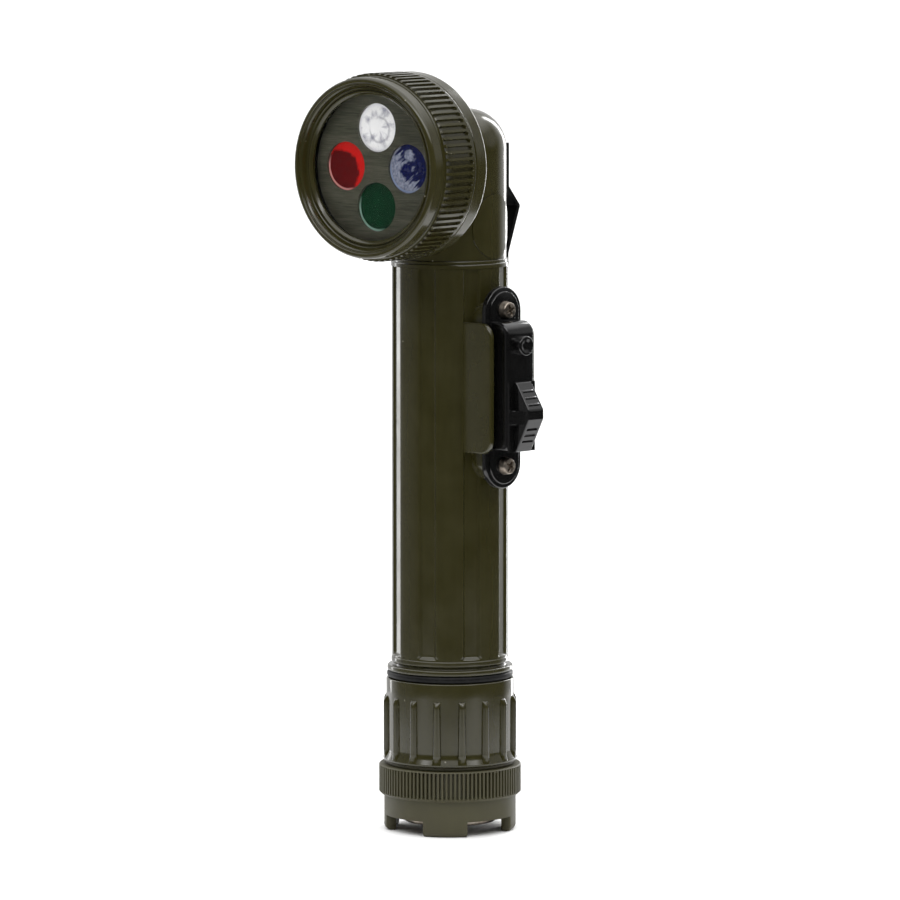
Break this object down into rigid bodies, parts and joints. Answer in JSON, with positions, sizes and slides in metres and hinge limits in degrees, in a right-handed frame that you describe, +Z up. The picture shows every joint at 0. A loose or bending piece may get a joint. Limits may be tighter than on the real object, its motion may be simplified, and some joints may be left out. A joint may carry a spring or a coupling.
{
  "type": "morse signal lamp",
  "caption": "Right-angle battery torch with a coloured signal face, slide switch and signal key, screw caps, belt clip and folding ring.",
  "frame": {"origin": "on the tube's axis at the plane of the tail cap's feet", "axes": "+Z up the tube, +X towards the switch; the head points along -Y, turned 7 degrees towards +X"},
  "size_m": [0.0566, 0.064, 0.2098],
  "materials": {
    "olive_gloss": "semi-gloss moulded olive drab plastic",
    "olive_matte": "satin moulded olive drab plastic",
    "black_gloss": "gloss black moulded plastic",
    "rubber": "black rubber",
    "blackened_steel": "blackened spring steel",
    "nickel": "dull nickel-plated steel",
    "brass": "plain brass",
    "brushed_olive": "olive lacquer on brushed sheet",
    "window": "clear polished",
    "lens_clear": "clear polished",
    "lens_red": "red transparent",
    "lens_blue": "blue transparent",
    "lens_green": "green transparent",
    "reflector": "vacuum plated",
    "board": "solder-masked board",
    "insulator": "pressed fibre board",
    "cell_jacket": "printed metal jacket, bare",
    "led": "clear epoxy"
  },
  "bodies": {
    "lamp_body": {"body_tube": "olive_gloss", "elbow_housing": "olive_gloss", "contact_strip": "brass", "battery_lower": "cell_jacket", "battery_upper": "cell_jacket", "insulator_disc": "insulator", "positive_contact": "brass", "switch_gasket": "rubber", "switch_plate": "black_gloss", "switch_screws": "nickel", "button_spring": "nickel", "led_board": "board", "reflector_block": "reflector", "face_plate": "brushed_olive", "lens_clear": "lens_clear", "lens_red": "lens_red", "lens_blue": "lens_blue", "lens_green": "lens_green", "led_white": "led", "led_red": "led", "led_blue": "led", "led_green": "led", "belt_clip": "blackened_steel", "clip_rivets": "blackened_steel"},
    "bezel_seal": {"bezel_gasket": "rubber"},
    "bezel": {"lens_bezel": "olive_gloss", "lens_window": "window"},
    "cap_seal": {"cap_o_ring": "rubber"},
    "battery_cap": {"battery_cap": "olive_gloss", "battery_spring": "nickel", "spring_contact_disc": "brass"},
    "tail_cap_seal": {"tail_seal": "rubber"},
    "tail_cap": {"tail_cap": "olive_matte", "ring_bracket": "nickel", "bracket_screw": "nickel"},
    "hanging_ring": {"hanging_ring": "nickel"},
    "slider": {"slider_knob": "black_gloss", "slider_contact": "brass"},
    "signal_button": {"signal_button": "black_gloss"}
  },
  "joints": [
    {"name": "slider_slide", "type": "slide", "parent": "lamp_body", "child": "slider", "axis": [0, 0, 1], "range_m": [0, 0.006]},
    {"name": "button_press", "type": "slide", "parent": "lamp_body", "child": "signal_button", "axis": [-1, 0, 0], "range_m": [0, 0.0012], "stiffness_N_per_m": 300, "springref_m": -0.002, "deforming": ["button_spring"]},
    {"name": "bezel_turn", "type": "hinge", "parent": "lamp_body", "child": "bezel_seal", "pos_m": [0, 0, 0.1843], "axis": [0.1219, -0.9925, 0], "range_deg": [0, 1080]},
    {"name": "bezel_draw", "type": "slide", "parent": "bezel_seal", "child": "bezel", "axis": [0.1219, -0.9925, 0], "range_m": [0, 0.0075]},
    {"name": "cap_turn", "type": "hinge", "parent": "lamp_body", "child": "cap_seal", "pos_m": [0, 0, 0], "axis": [0, 0, -1], "range_deg": [0, 1080]},
    {"name": "cap_draw", "type": "slide", "parent": "cap_seal", "child": "battery_cap", "axis": [0, 0, -1], "range_m": [0, 0.009]},
    {"name": "tail_cap_turn", "type": "hinge", "parent": "battery_cap", "child": "tail_cap_seal", "pos_m": [0, 0, 0], "axis": [0, 0, -1], "range_deg": [0, 1080]},
    {"name": "tail_cap_draw", "type": "slide", "parent": "tail_cap_seal", "child": "tail_cap", "axis": [0, 0, -1], "range_m": [0, 0.0075]},
    {"name": "ring_swing", "type": "hinge", "parent": "tail_cap", "child": "hanging_ring", "pos_m": [-0.00898, 0.00063, 0.0032], "axis": [0.0698, 0.9976, 0], "range_deg": [0, 100]}
  ],
  "couplings": [
    {"joint": "bezel_turn", "follows": "bezel_draw", "rad_per_m": 2513.2},
    {"joint": "cap_turn", "follows": "cap_draw", "rad_per_m": 2094.4},
    {"joint": "tail_cap_turn", "follows": "tail_cap_draw", "rad_per_m": 2513.2}
  ]
}
